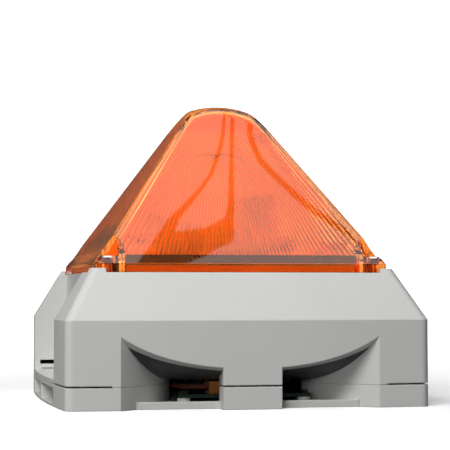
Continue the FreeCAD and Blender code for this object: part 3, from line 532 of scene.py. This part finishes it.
def floor_paper():
    """Pale paper that glows more with distance, and is dim in reflections and as a source of light."""
    material, tree, shader, where = new_material("floor_paper")
    paper = two_tone(tree, spread(tree, noise(tree, where, scale=3), 0, 1), PAPER_DARK, PAPER_LIGHT)
    tree.links.new(paper, shader.inputs["Base Color"])
    tree.links.new(paper, shader.inputs["Emission Color"])
    distance = tree.nodes.new("ShaderNodeVectorMath")
    distance.operation = "LENGTH"
    tree.links.new(where, distance.inputs[0])
    glow = map_range(tree, distance.outputs["Value"], FLOOR_NEAR, FLOOR_FAR, FLOOR_GLOW_NEAR, FLOOR_GLOW_FAR)
    tree.links.new(glow, shader.inputs["Emission Strength"])
    shader.inputs["Roughness"].default_value = 0.95
    shader.inputs["Specular IOR Level"].default_value = 0.1
    dim = tree.nodes.new("ShaderNodeBsdfDiffuse")
    dim.inputs["Color"].default_value = (*FLOOR_INDIRECT, 1)
    mix = tree.nodes.new("ShaderNodeMixShader")
    tree.links.new(seen_directly(tree), mix.inputs["Fac"])
    tree.links.new(dim.outputs["BSDF"], mix.inputs[1])
    tree.links.new(shader.outputs["BSDF"], mix.inputs[2])
    tree.links.new(mix.outputs["Shader"], tree.nodes["Material Output"].inputs["Surface"])
    return material


floor = flat_panel("floor", [(x * FLOOR_HALF, y * FLOOR_HALF) for x, y in CORNERS], 0.0)
floor.data.materials.append(floor_paper())


def softbox(name, place, target, size, radiance):
    """Soft rectangular light that neither the camera nor a reflection shows."""
    light = bpy.data.lights.new(name, "AREA")
    light.shape = "RECTANGLE"
    light.size, light.size_y = size
    light.energy = radiance * math.pi * size[0] * size[1]
    lamp = bpy.data.objects.new(name, light)
    lamp.location = place
    lamp.rotation_euler = (Vector(target) - Vector(place)).to_track_quat("-Z", "Y").to_euler()
    lamp.visible_camera = False
    lamp.visible_glossy = False
    scene.collection.objects.link(lamp)


softbox("overhead", (0.1, 0.2, 1.25), target=(0.0, 0.0, 0.0), size=(1.2, 1.0), radiance=0.15)
softbox("front_key", (-0.90, -1.15, 1.50), target=(0.0, 0.0, 0.03), size=(1.2, 0.6), radiance=14.0)
softbox("front_low", (-0.9, -2.2, 0.50), target=(0.0, 0.0, 0.05), size=(1.2, 0.5), radiance=4.6)
softbox("left_fill", (-2.0, 0.2, 0.9), target=(0.0, 0.0, 0.03), size=(1.0, 0.8), radiance=1.5)

# Four bright sheets on the ceiling, hung with narrow seams between them, which only reflections show.
# Their outlines come from a separate mirror calculation: it took the lines that the photograph shows on the
# front face of the lens to the ceiling, so that the seams show there as those lines.
CEILING = 1.25
SHEETS = {
    "sheet_left": [
        (-0.6, 0.6), (0.222, 0.6), (0.228, -0.323), (0.224, -0.344), (0.216, -0.373), (0.204, -0.391),
        (0.188, -0.410), (0.172, -0.427), (0.142, -0.476), (0.12, -0.51), (-0.6, -0.9)],
    "sheet_middle_left": [
        (0.229, 0.6), (0.236, 0.6), (0.238, -0.321), (0.240, -0.351), (0.2425, -0.409), (0.240, -0.427),
        (0.216, -0.441), (0.179, -0.446), (0.184, -0.428), (0.196, -0.412), (0.209, -0.393), (0.221, -0.374),
        (0.230, -0.342), (0.232, -0.323)],
    "sheet_middle": [
        (0.243, 0.6), (0.252, 0.6), (0.259, -0.322), (0.267, -0.341), (0.276, -0.358), (0.291, -0.372),
        (0.340, -0.415), (0.387, -0.445), (0.46, -0.49), (0.9, -0.9), (-0.1, -0.9), (0.12, -0.53),
        (0.195, -0.487), (0.218, -0.477), (0.230, -0.469), (0.246, -0.461), (0.253, -0.456), (0.250, -0.409),
        (0.245, -0.351), (0.243, -0.321)],
    "sheet_right": [
        (0.260, 0.6), (0.9, 0.6), (0.9, -0.86), (0.47, -0.484), (0.394, -0.440), (0.348, -0.411),
        (0.298, -0.369), (0.284, -0.356), (0.274, -0.341), (0.266, -0.322)],
}
SHEET_RADIANCE = 2.1


def sheet_light():
    material = bpy.data.materials.new("sheet_light")
    material.use_nodes = True
    glow = material.node_tree.nodes["Principled BSDF"]
    glow.inputs["Base Color"].default_value = (0, 0, 0, 1)
    glow.inputs["Emission Color"].default_value = (1, 1, 1, 1)
    glow.inputs["Emission Strength"].default_value = SHEET_RADIANCE
    return material


sheet_material = sheet_light()
for sheet_name, outline in SHEETS.items():
    sheet = flat_panel(sheet_name, outline, CEILING)
    sheet.data.materials.append(sheet_material)
    sheet.visible_camera = False
    sheet.visible_diffuse = False
    sheet.visible_shadow = False

WALL_LOW, WALL_HIGH, BACKDROP = 0.05, 0.12, 1.3


def build_world():
    """Dim studio walls, lighter upwards, in front of a bright backdrop for what is seen directly."""
    world = bpy.data.worlds.new("studio")
    scene.world = world
    world.use_nodes = True
    tree = world.node_tree
    tree.nodes.clear()
    direction = tree.nodes.new("ShaderNodeTexCoord")
    parts = tree.nodes.new("ShaderNodeSeparateXYZ")
    tree.links.new(direction.outputs["Generated"], parts.inputs["Vector"])
    walls = tree.nodes.new("ShaderNodeValToRGB")
    for end, level in zip(walls.color_ramp.elements, (WALL_LOW, WALL_HIGH)):
        end.color = (level, level, level, 1)
    tree.links.new(parts.outputs["Z"], walls.inputs["Fac"])
    colour = two_tone(tree, seen_directly(tree), walls.outputs["Color"], (BACKDROP, BACKDROP, BACKDROP))
    background = tree.nodes.new("ShaderNodeBackground")
    background.inputs["Strength"].default_value = 1.0
    tree.links.new(colour, background.inputs["Color"])
    output = tree.nodes.new("ShaderNodeOutputWorld")
    tree.links.new(background.outputs["Background"], output.inputs["Surface"])


build_world()

# Light passes through the ribbed lens many times before it leaves.
scene.cycles.max_bounces = 24
scene.cycles.transmission_bounces = 24
scene.cycles.glossy_bounces = 16

CAMERA_PLACE = (-0.15505, -0.79355, 0.05212)
CAMERA_TILT, CAMERA_TURN = 0.03985, -0.19849    # radians: up from level, and about +Z
SENSOR_MM, FOCAL_MM, NEAREST = 36, 131.8, 0.01

camera_data = bpy.data.cameras.new("camera")
camera_data.sensor_width = SENSOR_MM
camera_data.lens = FOCAL_MM
camera_data.clip_start = NEAREST
camera = bpy.data.objects.new("camera", camera_data)
camera.location = CAMERA_PLACE
camera.rotation_euler = (math.pi / 2 + CAMERA_TILT, 0, CAMERA_TURN)
scene.collection.objects.link(camera)
scene.camera = camera
scene.view_settings.view_transform = "Standard"
